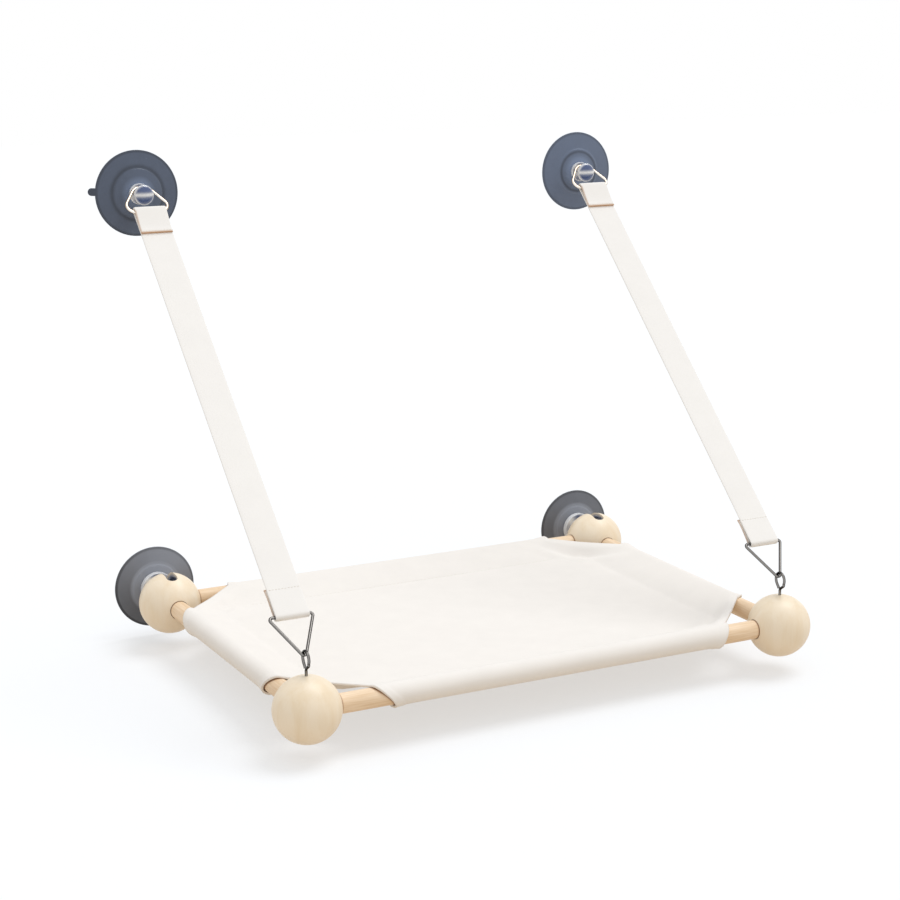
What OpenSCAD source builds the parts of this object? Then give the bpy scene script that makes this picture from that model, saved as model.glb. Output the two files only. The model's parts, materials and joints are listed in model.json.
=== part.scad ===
// Window hammock for a cat: a canvas sling on four dowels and four wooden balls,
// held to the glass by two lower suction cups and hung from two upper ones by webbing straps.
// X runs along the front dowel, Y points at the glass, Z is up.
// The origin lies on the glass, midway between the axes of the two lower cups.

/* [Bed frame] */
// Distance across the bed between ball centres
bed_w = 486; // [360:1:620]
// Distance from the rear ball centres to the front ball centres
bed_l = 347; // [280:1:420]
// Diameter of the wooden balls
ball_d = 60; // [58:1:66]
// Diameter of the dowels
dowel_d = 18; // [14:0.5:20]
// Depth of each dowel hole below the ball's surface
dowel_seat = 17; // [10:0.5:18]
// Gap all round a dowel in its hole
dowel_fit = 0.5; // [0.1:0.05:0.6]
// Height of the lower cups' axes above the ball centres
ball_drop = 5; // [2:0.5:7]
// Distance from the glass to the rear ball centres
ball_stand = 46; // [45:0.5:52]

/* [Suction cups] */
// Height of the upper cups' axes above the lower ones
cup_rise = 393; // [360:1:470]
// Diameter of the suction discs
cup_d = 82; // [70:1:100]
// Thickness of the disc at its rim
cup_rim = 1.4; // [1:0.1:2.5]
// Width of the flat lip that lies on the glass
cup_lip = 4; // [2:0.5:6]
// Depth of the hollow behind the disc
cup_hollow = 2.2; // [1:0.1:3]
// Diameter of the raised step on the front of the disc
step_d = 48; // [40:1:56]
// Height of the front of the disc just outside the step
step_h = 4.4; // [3:0.1:5]
// Rise of the step
step_rise = 1; // [0.4:0.1:1.5]
// Diameter of the flat boss that the peg stands on
boss_d = 24; // [20:1:30]
// Height of the boss above the glass
boss_h = 8; // [7:0.25:9]
// Width of the pull tab on the rim
tab_w = 9; // [6:0.5:12]
// Reach of the pull tab beyond the rim
tab_l = 7; // [4:0.5:10]

/* [Cup pegs] */
// Diameter of the peg's neck
neck_d = 10; // [8:0.5:11]
// Diameter of the peg's mushroom head
head_d = 19; // [17:0.5:19.5]
// Thickness of the head
head_t = 7; // [6:0.25:7.5]
// Rise of the head's dome
dome_h = 4; // [3:0.25:5]
// Collar diameter of the upper pegs
collar_d = 20; // [16:0.5:24]
// Collar thickness of the upper pegs
collar_t = 3; // [2:0.25:5]
// Free neck length of the upper pegs
neck_l = 9; // [7:0.25:11]
// Collar diameter of the lower pegs
base_d = 34; // [28:0.5:38]
// Collar thickness of the lower pegs
base_t = 5.5; // [4:0.25:6]
// Distance from the fold axis to the near face of the lower heads
head_in = 10; // [9:0.25:10.5]
// Gap round the lower pegs in their slots
slot_fit = 0.4; // [0.3:0.05:0.6]
// Angle to which the slot runs up the rear balls
slot_up = 82; // [60:1:84]
// Angle that the open cut for the neck rises over the top
slot_over = 112; // [84:1:114]
// Angle below the peg at which its head enters the ball
entry_down = 55; // [50:1:60]

/* [Hanger rings] */
// Wire of the upper D-rings
ring_wire = 2.6; // [2:0.1:3]
// Outer width of the D-rings
ring_w = 42; // [40:0.5:48]
// Outer height of the D-rings
ring_h = 33; // [30:0.5:40]
// Bow radius of the D-rings, to the middle of the wire
bow_r = 12; // [11.5:0.25:13.5]
// Corner radius of the D-rings, to the middle of the wire
ring_corner = 8; // [6:0.25:8.5]
// Gap between the bow and the peg's neck
ring_fit = 0.3; // [0.2:0.05:0.5]

/* [Straps] */
// Width of the webbing
strap_w = 31; // [25:0.5:31.5]
// Thickness of the webbing
strap_t = 1.8; // [1.2:0.1:2.2]
// Sideways shift of the straps on their bars
strap_side = 1; // [0:0.25:1]
// Gap between the webbing and the bars that it loops round
loop_gap = 0.5; // [0.4:0.05:0.7]
// Height of the upper loop above its bar, which lifts it over the ring's round corners
loop_up = 1.8; // [1.6:0.1:3]
// Distance from a loop's middle to the place where it closes
loop_l = 19; // [16:1:22]
// Distance from a loop's middle to the end of the sewn tail
tail_l = 27; // [24:1:40]
// Distance from the upper bar to the place where the slack strap folds
fold_at = 258; // [200:1:300]

/* [Triangle rings] */
// Wire of the triangle rings
tri_wire = 2.7; // [2:0.1:2.8]
// Outer width of the triangle rings
tri_w = 41.5; // [41:0.5:46]
// Outer height of the triangle rings
tri_h = 42; // [38:0.5:50]
// Corner radius of the triangle rings, to the middle of the wire
tri_corner = 2.6; // [2.4:0.1:3]
// Gap between the triangle's apex and the eye
eye_fit = 0.3; // [0.1:0.05:0.4]

/* [Screw eyes] */
// Wire of the screw eyes
eye_wire = 2.6; // [2:0.1:2.8]
// Outer diameter of the eye
eye_d = 16; // [15:0.5:20]
// Length of stem between the ball and the eye
eye_stem = 7; // [3:0.5:9]
// Depth of the stem in the ball
eye_depth = 18; // [10:0.5:19]
// Gap round the stem in its pilot hole
stem_fit = 0.05; // [0.02:0.01:0.1]
// Angle by which the bent eye falls short of its stem
eye_open = 26; // [15:1:40]

/* [Canvas sling] */
// Thickness of the canvas
cloth_t = 1.2; // [1:0.1:1.6]
// Gap between a dowel and its sleeve
sleeve_gap = 0.3; // [0.2:0.05:0.4]
// Distance from a ball centre to the cut corner of the canvas, along the dowel
corner_cut = 60; // [50:1:80]
// Slant of the sleeve mouths
mouth_slant = 43; // [20:1:50]
// Width of the band that slopes down from the sleeves
band_w = 32; // [24:1:45]
// Depth of the panel below the dowel axes where the band ends
panel_drop = 3; // [0:0.5:5]
// Further sag of the panel in the middle
sag = 5; // [3:0.5:14]

/* [Hidden] */
$fn = 64;
grey = "#5a5f6b";
clear = "#c9d4e0";
nickel = "#e6e1d8";
steel = "#8d8b88";
maple = "#e6d2b4";
birch = "#e9cfae";
cream = "#f5f2ea";
webbing = "#f6f4ef";

// Places of the balls
half_w = bed_w / 2;
rear_y = -ball_stand;
front_y = -ball_stand - bed_l;
ball_z = -ball_drop;
ball_r = ball_d / 2;
seat_at = ball_r - dowel_seat;

// The upper bow rests on top of the neck, just clear of the collar
bow_y = -(boss_h + collar_t + ring_wire);
bow_z = cup_rise + neck_d / 2 + ring_fit + ring_wire / 2;
// Centre of a screw eye
eye_r = (eye_d - eye_wire) / 2;
eye_z = ball_z + ball_r + eye_stem + eye_d / 2;
// The ring, strap and triangle hang in one straight line from the bow to the eye
hang_y = front_y - bow_y;
hang_z = eye_z - bow_z;
hang_l = sqrt(hang_y * hang_y + hang_z * hang_z);
hang_tilt = atan2(-hang_y, -hang_z);
ring_hc = ring_h - ring_wire;
tri_hc = tri_h - tri_wire;
apex_in = eye_r - eye_wire / 2 - tri_wire / 2 - eye_fit;
upper_bar = -ring_hc;
lower_bar = -(hang_l - apex_in - tri_hc);
upper_loop = upper_bar + loop_up;
fold_z = upper_bar - fold_at;
// Middle of the webbing beside each bar
upper_off = ring_wire / 2 + loop_gap + strap_t / 2;
lower_off = tri_wire / 2 + loop_gap + strap_t / 2;

// Sleeves and panel of the canvas
sleeve_in = dowel_d / 2 + sleeve_gap;
sleeve_out = sleeve_in + cloth_t;
edge_in = (sleeve_in + cloth_t / 2) * sin(45);
panel_x = half_w - edge_in;
panel_y = bed_l / 2 - edge_in;
panel_cut = corner_cut - edge_in;
rows_end = 5;
rows_mid = 12;
cols = 26;
// Overlap by which sewn layers of webbing join, and drilled ends of a slot pass its sides
lap = 0.1;
// Bends of a wire are thicker by this much, and its straight runs end inside them
bend_more = 0.06;
run_in = 0.2;

// Cup axis: the children's +Z points away from the glass
module on_glass(x, z) {
  translate([x, 0, z]) rotate([90, 0, 0]) children();
}

// Frame of a hanging chain: origin at the bow, -Z runs down the strap, -Y is its front
module on_chain(x) {
  translate([x, bow_y, bow_z]) rotate([-hang_tilt, 0, 0]) children();
}

// Suction disc with its lip on the glass and a pull tab at the given angle
module suction_disc(tab_angle) {
  r = cup_d / 2;
  color(grey) union() {
    rotate_extrude() polygon([
      [0, cup_hollow], [step_d / 2, cup_hollow], [r - cup_lip, 0], [r, 0], [r, cup_rim],
      [step_d / 2, step_h], [step_d / 2 - step_rise, step_h + step_rise],
      [boss_d / 2, boss_h], [0, boss_h]
    ]);
    rotate([0, 0, tab_angle]) {
      translate([r + tab_l - tab_w / 2, 0, 0]) cylinder(d = tab_w, h = cup_rim);
      translate([r - cup_lip / 2, -tab_w / 2, 0])
        cube([tab_l + cup_lip / 2 - tab_w / 2, tab_w, cup_rim]);
    }
  }
}

// Clear peg: collar, neck and domed head, on the boss of a disc
module mushroom_peg(wide, thick, neck) {
  dome_r = (head_d * head_d / 4 + dome_h * dome_h) / (2 * dome_h);
  top = thick + neck + head_t;
  color(clear) translate([0, 0, boss_h]) union() {
    cylinder(d = wide, h = thick);
    cylinder(d = neck_d, h = thick + neck + head_t / 2);
    intersection() {
      translate([0, 0, thick + neck]) cylinder(d = head_d, h = head_t);
      translate([0, 0, top - dome_r]) sphere(r = dome_r);
    }
  }
}

// Straight piece of wire between two points of the XZ plane
module wire_run(p, q, wire) {
  dx = q[0] - p[0];
  dz = q[1] - p[1];
  translate([p[0], 0, p[1]]) rotate([0, atan2(dx, dz), 0]) translate([0, 0, -run_in])
    cylinder(d = wire, h = sqrt(dx * dx + dz * dz) + 2 * run_in);
}

// Bent piece of wire in the XZ plane
module wire_bend(c, r, a0, a1, wire) {
  translate([c[0], 0, c[1]]) rotate([90, 0, 0]) rotate([0, 0, a0])
    rotate_extrude(angle = a1 - a0) translate([r, 0]) circle(d = wire + bend_more);
}

// Closed wire ring: round bow at z = 0, straight bar at z = -h, sizes to the middle of the wire
module wire_ring(w, h, bow, corner, wire) {
  cx = w / 2 - corner;
  cz = corner - h;
  along = atan2(cz + bow, cx);
  turn = acos((bow - corner) / sqrt(cx * cx + (cz + bow) * (cz + bow)));
  n = along + turn;
  wire_bend([0, -bow], bow, n, 180 - n, wire);
  wire_run([-cx, -h], [cx, -h], wire);
  for (side = [0, 1]) mirror([side, 0, 0]) {
    wire_run([bow * cos(n), bow * sin(n) - bow], [cx + corner * cos(n), cz + corner * sin(n)], wire);
    wire_bend([cx, cz], corner, -90, n, wire);
  }
}

// Middle of the main layer of webbing at a height along the chain
function strap_y(z) =
  upper_off - (upper_off + lower_off) * (upper_loop - z) / (upper_loop - lower_bar);

// Side view of a loop with its sewn tail, its middle at z0, with the main layer on side s
module loop_outline(z0, off, s, up) {
  z1 = z0 - up * loop_l;
  z2 = z0 - up * tail_l;
  y0 = -s * off;
  y1 = strap_y(z1) - s * (strap_t - lap);
  y2 = strap_y(z2) - s * (strap_t - lap);
  h = strap_t / 2;
  g = up * h;
  intersection() {
    translate([0, z0]) difference() {
      circle(r = off + h);
      circle(r = off - h);
    }
    translate([-2 * off, up > 0 ? z0 - lap : z0 - 2 * off + lap]) square([4 * off, 2 * off]);
  }
  polygon([[y0 - g, z0], [y1 - g, z1], [y2 - g, z2], [y2 + g, z2], [y1 + g, z1], [y0 + g, z0]]);
}

// Side view of the main layer of webbing between two heights
module layer_outline(z0, z1) {
  h = strap_t / 2;
  polygon([
    [strap_y(z0) - h, z0], [strap_y(z1) - h, z1], [strap_y(z1) + h, z1], [strap_y(z0) + h, z0]
  ]);
}

// Webbing drawn from its side view
module web(x) {
  color(webbing) on_chain(x) translate([strap_side - strap_w / 2, 0, 0]) rotate([90, 0, 90])
    linear_extrude(strap_w) children();
}

// Part of a strap above the fold, looped round the hanger ring's bar
module strap_upper(x) {
  web(x) union() {
    layer_outline(upper_loop, fold_z);
    loop_outline(upper_loop, upper_off, 1, 1);
  }
}

// Part of a strap below the fold, looped round the triangle ring's bar
module strap_lower(x) {
  web(x) union() {
    layer_outline(fold_z, lower_bar);
    loop_outline(lower_bar, lower_off, -1, -1);
  }
}

module hanger_ring(x) {
  color(nickel) on_chain(x)
    wire_ring(ring_w - ring_wire, ring_hc, bow_r, ring_corner, ring_wire);
}

module triangle_ring(x) {
  color(steel) on_chain(x) translate([0, 0, lower_bar - tri_hc]) rotate([0, 180, 0])
    wire_ring(tri_w - tri_wire, tri_hc, tri_corner, tri_corner, tri_wire);
}

// Screw eye: a bent wire eye in the YZ plane on a stem that goes down into the ball
module screw_eye(x) {
  color(steel) translate([x, front_y, eye_z]) union() {
    rotate([90, 0, 90]) rotate([0, 0, -90]) rotate_extrude(angle = 360 - eye_open)
      translate([eye_r, 0]) circle(d = eye_wire);
    translate([0, 0, -eye_r - eye_wire / 2 - eye_stem - eye_depth])
      cylinder(d = eye_wire, h = eye_wire / 2 + eye_stem + eye_depth);
  }
}

// Wooden ball with its two dowel holes, toward the middle of the bed
module drilled_ball(sx, sy) {
  difference() {
    sphere(d = ball_d);
    rotate([0, -sx * 90, 0]) translate([0, 0, seat_at])
      cylinder(d = dowel_d + 2 * dowel_fit, h = ball_r);
    rotate([sy * 90, 0, 0]) translate([0, 0, seat_at])
      cylinder(d = dowel_d + 2 * dowel_fit, h = ball_r);
  }
}

module front_ball(sx) {
  color(maple) translate([sx * half_w, front_y, ball_z]) difference() {
    drilled_ball(sx, -1);
    translate([0, 0, ball_r - eye_depth]) cylinder(d = eye_wire + 2 * stem_fit, h = ball_r);
  }
}

// Children drawn along +Z, turned to point up from the glass side by an angle about the fold axis
module turned_up(a) {
  translate([0, 0, ball_drop]) rotate([a - 90, 0, 0]) children();
}

// Slot that lets a lower peg swing in its ball: an undercut for the head, a slit for the neck
module peg_slot() {
  head_r = head_d / 2 + slot_fit;
  neck_r = neck_d / 2 + slot_fit;
  near = head_in - slot_fit;
  far = head_in + head_t + slot_fit;
  reach = sqrt(far * far + head_r * head_r);
  translate([0, 0, ball_drop]) rotate([90, 0, 90]) rotate([0, 0, -entry_down]) {
    rotate_extrude(angle = slot_up + entry_down)
      translate([near, -head_r]) square([reach - near, 2 * head_r]);
    rotate_extrude(angle = slot_over + entry_down)
      translate([near, -neck_r]) square([ball_d - near, 2 * neck_r]);
  }
  turned_up(slot_up) translate([0, 0, near - lap]) cylinder(r = head_r + lap, h = reach - near + 2 * lap);
  turned_up(slot_over) translate([0, 0, near - lap]) cylinder(r = neck_r + lap, h = ball_d);
  turned_up(-entry_down) translate([0, 0, near - lap]) cylinder(r = head_r + lap, h = ball_d);
}

module rear_ball(sx) {
  color(maple) translate([sx * half_w, rear_y, ball_z]) difference() {
    drilled_ball(sx, 1);
    peg_slot();
  }
}

module dowel_across(y) {
  l = bed_w - 2 * seat_at;
  color(birch) translate([-l / 2, y, ball_z]) rotate([0, 90, 0]) cylinder(d = dowel_d, h = l);
}

module dowel_along(sx) {
  l = bed_l - 2 * seat_at;
  color(birch) translate([sx * half_w, rear_y - seat_at, ball_z]) rotate([90, 0, 0])
    cylinder(d = dowel_d, h = l);
}

// Sleeve along +X round a dowel of span l between ball centres, with slanted mouths; +Y is outward
module sleeve(l) {
  reach = l / 2 - corner_cut - sleeve_out * tan(mouth_slant);
  far = 4 * sleeve_out;
  long = l - 2 * corner_cut;
  difference() {
    rotate([0, 90, 0]) translate([0, 0, -long / 2]) cylinder(r = sleeve_out, h = long);
    rotate([0, 90, 0]) translate([0, 0, -long / 2 - 1]) cylinder(r = sleeve_in, h = long + 2);
    for (side = [0, 1]) mirror([side, 0, 0])
      translate([reach, 0, 0]) rotate([-45, 0, 0]) rotate([0, 0, mouth_slant])
        translate([0, -far, -far]) cube([l, 2 * far, 2 * far]);
  }
}

// Half width of the panel at a distance y from the middle of the bed
function half_at(y) = panel_x - max(0, abs(y) - (panel_y - panel_cut));
// Share of a sloping band at a distance d from its edge
function band(d) = pow(max(0, 1 - d / band_w), 1.2);
// Height of the middle of the panel above the dowel axes
function panel_z(x, y) = let (
    ex = band(panel_x - abs(x)),
    ey = band(panel_y - abs(y)),
    ec = 0.9 * band((panel_x + panel_y - panel_cut - abs(x) - abs(y)) / sqrt(2)),
    rim = 1 - (1 - ex) * (1 - ey) * (1 - ec),
    dish = (1 - pow(x / panel_x, 2)) * (1 - pow(y / panel_y, 2))
  ) (edge_in + panel_drop) * rim - panel_drop - sag * dish * (1 - rim);

// Sagging panel between the sleeves
module panel() {
  flat = panel_y - panel_cut;
  ys = [
    for (j = [0 : rows_end - 1]) -panel_y + panel_cut * j / rows_end,
    for (j = [0 : rows_mid]) flat * (2 * j / rows_mid - 1),
    for (j = [1 : rows_end]) flat + panel_cut * j / rows_end
  ];
  n = len(ys);
  m = cols + 1;
  xs = [for (i = [0 : cols]) sin(90 * (2 * i / cols - 1)) * 0.5 + (2 * i / cols - 1) * 0.5];
  top = [for (y = ys) for (u = xs) let (x = u * half_at(y)) [x, y, panel_z(x, y) + cloth_t / 2]];
  pts = concat(top, [for (p = top) [p[0], p[1], p[2] - cloth_t]]);
  k = n * m;
  faces = concat(
    [for (j = [0 : n - 2]) for (i = [0 : cols - 1]) let (a = j * m + i)
      each [[a, a + m, a + 1], [a + 1, a + m, a + m + 1]]],
    [for (j = [0 : n - 2]) for (i = [0 : cols - 1]) let (a = k + j * m + i)
      each [[a, a + 1, a + m], [a + 1, a + m + 1, a + m]]],
    [for (i = [0 : cols - 1]) each [
      [i, i + 1, k + i], [i + 1, k + i + 1, k + i],
      [k - m + i, 2 * k - m + i, k - m + i + 1], [k - m + i + 1, 2 * k - m + i, 2 * k - m + i + 1]
    ]],
    [for (j = [0 : n - 2]) let (a = j * m, b = j * m + cols) each [
      [a, k + a, a + m], [a + m, k + a, k + a + m],
      [b, b + m, k + b], [b + m, k + b + m, k + b]
    ]]
  );
  polyhedron(points = pts, faces = faces, convexity = 4);
}

module canvas_sling() {
  color(cream) translate([0, rear_y - bed_l / 2, ball_z]) union() {
    panel();
    translate([0, bed_l / 2, 0]) sleeve(bed_w);
    translate([0, -bed_l / 2, 0]) rotate([0, 0, 180]) sleeve(bed_w);
    translate([half_w, 0, 0]) rotate([0, 0, -90]) sleeve(bed_l);
    translate([-half_w, 0, 0]) rotate([0, 0, 90]) sleeve(bed_l);
  }
}

lower_neck = ball_stand - head_in - head_t - boss_h - base_t;

on_glass(-half_w, cup_rise) suction_disc(176);  // cup_upper_left
on_glass(half_w, cup_rise) suction_disc(-60);  // cup_upper_right
on_glass(-half_w, 0) suction_disc(-40);  // cup_lower_left
on_glass(half_w, 0) suction_disc(-40);  // cup_lower_right
on_glass(-half_w, cup_rise) mushroom_peg(collar_d, collar_t, neck_l);  // peg_upper_left
on_glass(half_w, cup_rise) mushroom_peg(collar_d, collar_t, neck_l);  // peg_upper_right
on_glass(-half_w, 0) mushroom_peg(base_d, base_t, lower_neck);  // peg_lower_left
on_glass(half_w, 0) mushroom_peg(base_d, base_t, lower_neck);  // peg_lower_right
hanger_ring(-half_w);  // hanger_ring_left
hanger_ring(half_w);  // hanger_ring_right
strap_upper(-half_w);  // strap_left_upper
strap_lower(-half_w);  // strap_left_lower
strap_upper(half_w);  // strap_right_upper
strap_lower(half_w);  // strap_right_lower
triangle_ring(-half_w);  // triangle_ring_left
triangle_ring(half_w);  // triangle_ring_right
screw_eye(-half_w);  // screw_eye_left
screw_eye(half_w);  // screw_eye_right
front_ball(-1);  // ball_front_left
front_ball(1);  // ball_front_right
rear_ball(-1);  // ball_rear_left
rear_ball(1);  // ball_rear_right
dowel_across(front_y);  // dowel_front
dowel_across(rear_y);  // dowel_rear
dowel_along(-1);  // dowel_left
dowel_along(1);  // dowel_right
canvas_sling();
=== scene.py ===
"""Window hammock for a cat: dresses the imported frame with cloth, webbing, discs, pegs and finishes."""

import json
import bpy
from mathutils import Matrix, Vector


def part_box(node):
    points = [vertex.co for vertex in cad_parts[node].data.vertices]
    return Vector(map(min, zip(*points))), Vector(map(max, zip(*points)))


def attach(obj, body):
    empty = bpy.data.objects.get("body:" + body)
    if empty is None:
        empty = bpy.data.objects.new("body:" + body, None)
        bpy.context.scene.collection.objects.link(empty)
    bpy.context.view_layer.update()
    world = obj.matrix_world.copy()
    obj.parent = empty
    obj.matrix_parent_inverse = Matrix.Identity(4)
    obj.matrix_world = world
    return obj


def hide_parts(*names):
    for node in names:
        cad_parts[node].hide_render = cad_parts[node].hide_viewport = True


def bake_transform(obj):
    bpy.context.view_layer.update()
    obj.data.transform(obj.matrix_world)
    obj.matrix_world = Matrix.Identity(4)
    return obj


bl_info = {
    "name": "Window Hammock",
    "version": (1, 0, 0),
    "blender": (4, 5, 0),
    "location": "View3D > Sidebar > Hammock",
    "description": "Dresses the hammock's frame with canvas, webbing, suction discs, pegs and finishes",
    "category": "Object",
}

import bmesh
import bpy
import numpy as np
from bpy.props import FloatProperty, FloatVectorProperty, PointerProperty
from mathutils import Matrix

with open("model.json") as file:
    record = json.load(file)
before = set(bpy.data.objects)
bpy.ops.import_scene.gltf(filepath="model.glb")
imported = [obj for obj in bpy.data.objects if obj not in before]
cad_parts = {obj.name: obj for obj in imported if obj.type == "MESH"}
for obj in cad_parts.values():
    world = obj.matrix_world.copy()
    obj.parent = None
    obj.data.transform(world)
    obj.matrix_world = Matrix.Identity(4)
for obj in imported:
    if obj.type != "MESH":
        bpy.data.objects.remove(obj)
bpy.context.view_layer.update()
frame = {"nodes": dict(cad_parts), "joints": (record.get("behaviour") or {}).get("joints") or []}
MM = 0.001
X, Y, Z = 0, 1, 2
SIDES = {"left": -1, "right": 1}


def middle(node):
    """Middle of a node's box, in metres."""
    low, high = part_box(node)
    return (np.array(low) + np.array(high)) / 2


def joint_at(name):
    """Place of a joint, in metres."""
    return np.array(next(j["pos_m"] for j in frame["joints"] if j["name"] == name), float)


# Places and sizes that the frame gives: dowel axes, disc axes, balls and dowels
HALF_W = float(middle("dowel_right")[X])
REAR_Y = float(middle("dowel_rear")[Y])
FRONT_Y = float(middle("dowel_front")[Y])
AXIS_Z = float(middle("dowel_front")[Z])
HALF_L = (REAR_Y - FRONT_Y) / 2
MID_Y = (REAR_Y + FRONT_Y) / 2
BED = (0.0, MID_Y, AXIS_Z)
CUP_RISE = float(middle("peg_upper_right")[Z])
DISC_R = float(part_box("cup_lower_left")[1][Z] - middle("peg_lower_left")[Z])
BALL_R = float(np.ptp(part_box("ball_front_left"), axis=0)[X] / 2)
DOWEL_R = float(np.ptp(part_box("dowel_front"), axis=0)[Y] / 2)

# Distance from a screw eye's centre up to the bar of its triangle ring
BAR_ABOVE_EYE = 43.05 * MM


def linear(code):
    """Linear RGBA of an sRGB hex colour."""
    c = np.array([int(code[i:i + 2], 16) for i in (1, 3, 5)]) / 255
    c = np.where(c <= 0.04045, c / 12.92, ((c + 0.055) / 1.055) ** 2.4)
    return (*c.tolist(), 1.0)


def length(name, description, millimetres):
    """A length property with its default given in millimetres."""
    return FloatProperty(name=name, description=description, default=millimetres * MM,
                         unit="LENGTH", subtype="DISTANCE", precision=4)


def colour(name, description, code):
    """A colour property with its default given as an sRGB hex value."""
    return FloatVectorProperty(name=name, description=description, default=linear(code), size=4,
                               subtype="COLOR", min=0.0, max=1.0)


class CanvasProps(bpy.types.PropertyGroup):
    """Sizes and colour of the canvas sling."""

    thickness: length("Thickness", "Thickness of the canvas", 1.2)
    sleeve_r: length("Sleeve radius", "Radius of the sleeves, to the middle of the cloth", 9.9)
    pocket: length("Pocket", "Distance from a dowel's axis to the seam that closes its sleeve", 38)
    seam_drop: length("Seam drop", "Depth of the seam below the dowels' axes", 2)
    sag: length("Sag", "Further sag of the panel in the middle", 5)
    corner: length("Corner", "Distance along a dowel from a ball's centre to the cut corner", 60)
    slant: length("Mouth slant", "Half the length by which a sleeve's mouth falls back underneath", 9.9)
    hem: length("Hem", "Width of the hem along the free edges", 9.5)
    flare: length("Flare", "How far a sleeve's mouth stands open round its dowel", 1.2)
    recede: length("Recede", "How much sooner the right sleeve ends at the front", 6)
    valley: length("Valley", "Depth of the crease inside a cut corner", 3.5)
    tint: colour("Canvas", "Colour of the canvas", "#F3EFEA")
    thread: colour("Thread", "Colour of the sewing thread", "#EFEAE0")


class WebbingProps(bpy.types.PropertyGroup):
    """Sizes and colour of the two straps."""

    width: length("Width", "Width of the webbing", 31)
    thickness: length("Thickness", "Thickness of the webbing", 1.8)
    gap: length("Loop gap", "Gap between the webbing and the bars that it loops round", 0.5)
    lift: length("Loop lift", "Height of the upper loop above its bar", 1.8)
    side: length("Side shift", "Sideways shift of the straps on their bars", 1)
    askew: length("Askew", "Sideways shift of the lower tails' ends behind the straps", 1.8)
    close: length("Loop", "Distance from a loop's middle to the place where it closes", 19)
    tail: length("Tail", "Distance from a loop's middle to the end of the sewn tail", 27)
    fold: length("Fold length", "Length of webbing that bends where the slack strap folds", 28)
    upper_wire: length("Upper wire", "Wire of the hanger rings", 2.6)
    lower_wire: length("Lower wire", "Wire of the triangle rings", 2.7)
    tint: colour("Webbing", "Colour of the webbing", "#F6F4F1")
    # The cut ends' brown is partly their heat seal and partly painted shade under each end; along the
    # tails' left selvedges it is painted shade
    seared: colour("Seared", "Brown of the cut ends, which are sealed with heat", "#B98A5C")


class DiscProps(bpy.types.PropertyGroup):
    """Sizes and colour of the four suction discs."""

    rim: length("Rim", "Thickness of the disc at its rim", 1.4)
    lip: length("Lip", "Width of the flat lip on the glass", 4)
    hollow: length("Hollow", "Depth of the hollow behind the disc", 2.2)
    step_r: length("Step radius", "Radius of the raised step on the front", 24)
    step_h: length("Step height", "Height of the front just outside the step", 4.4)
    step_rise: length("Step rise", "Rise of the step", 1)
    boss_r: length("Boss radius", "Radius of the flat boss", 12)
    boss_h: length("Boss height", "Height of the boss above the glass", 8)
    tab_w: length("Tab width", "Width of the pull tab", 7.4)
    tab_l: length("Tab length", "Reach of the pull tab beyond the rim", 7)
    tint: colour("Upper vinyl", "Colour of the upper discs' vinyl", "#5A667C")
    # The lower discs' vinyl is lighter and greyer as a painted reflection of the overhead light
    lower_tint: colour("Lower vinyl", "Colour of the lower discs' vinyl", "#6A6E77")


class PegProps(bpy.types.PropertyGroup):
    """Sizes and colour of the four clear pegs."""

    neck_r: length("Neck radius", "Radius of the neck", 5)
    head_r: length("Head radius", "Radius of the mushroom head", 9.5)
    head_t: length("Head thickness", "Thickness of the head", 7)
    dome: length("Dome", "Rise of the head's dome", 4)
    collar_r: length("Upper collar radius", "Radius of the upper pegs' collars", 10)
    collar_t: length("Upper collar thickness", "Thickness of the upper pegs' collars", 3)
    base_r: length("Lower collar radius", "Radius of the lower pegs' collars", 17)
    base_t: length("Lower collar thickness", "Thickness of the lower pegs' collars", 5.5)
    # Painted light on the pegs: the pale tint is a painted highlight, and the blue-grey shade paints the
    # disc behind as seen through
    tint: colour("Clear plastic", "Clear plastic where it gathers the light", "#FAFCFF")
    shade: colour("Shade", "Clear plastic where a disc shows through it", "#465A8A")


class FinishProps(bpy.types.PropertyGroup):
    """Colours of the wood and the wire, and sizes of the screw eyes."""

    ball: colour("Ball wood", "Pale turned wood of the balls", "#F6E7CF")
    dowel: colour("Dowel wood", "Warmer wood of the dowels", "#F4DCBE")
    # Painted shade: the dark brown where a dowel goes into a ball's bore or under a sleeve
    stain: colour("Stain", "Dowel wood where it goes into a ball or a sleeve", "#8A4F18")
    # Painted shade in the rear balls' slots, blue-grey like the clear pegs in them
    slot: colour("Slot", "Wood in the rear balls' slots, where the clear pegs show in it", "#8C96AC")
    nickel: colour("Nickel", "Bright plated wire of the hanger rings", "#FBF6EE")
    # Painted reflection: the colour of the nickel wire towards its sides
    nickel_edge: colour("Nickel sides", "Colour of the nickel's gloss towards its sides", "#C6AE94")
    steel: colour("Steel", "Plain wire of the triangles and screw eyes", "#8E8B88")
    # Painted reflection: the colour of the steel wire towards its sides
    steel_edge: colour("Steel sides", "Colour of the steel's gloss towards its sides", "#100C0A")
    eye_wire: length("Eye wire", "Wire of the screw eyes", 2.6)
    eye_r: length("Eye radius", "Radius of a screw eye, to the middle of its wire", 6.7)


class StageProps(bpy.types.PropertyGroup):
    """Floor, light and camera."""

    floor_z: length("Floor", "Height of the floor", -50)
    floor_tint: colour("Floor tint", "Colour of the floor", "#B3B6BA")
    bounce: colour("Bounce", "Warm tone of the light that the floor throws back", "#FFF0DC")
    sky: FloatProperty(name="Sky", description="Soft light from all round", default=0.76)
    sun: FloatProperty(name="Overhead light", description="Strength of the overhead light", default=1.15)
    eye: FloatVectorProperty(name="Camera", description="Place of the camera", subtype="TRANSLATION",
                             unit="LENGTH", default=(-0.87207, -1.92486, 0.5990))
    lens: FloatProperty(name="Lens", description="Focal length in millimetres", default=82.55)


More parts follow.
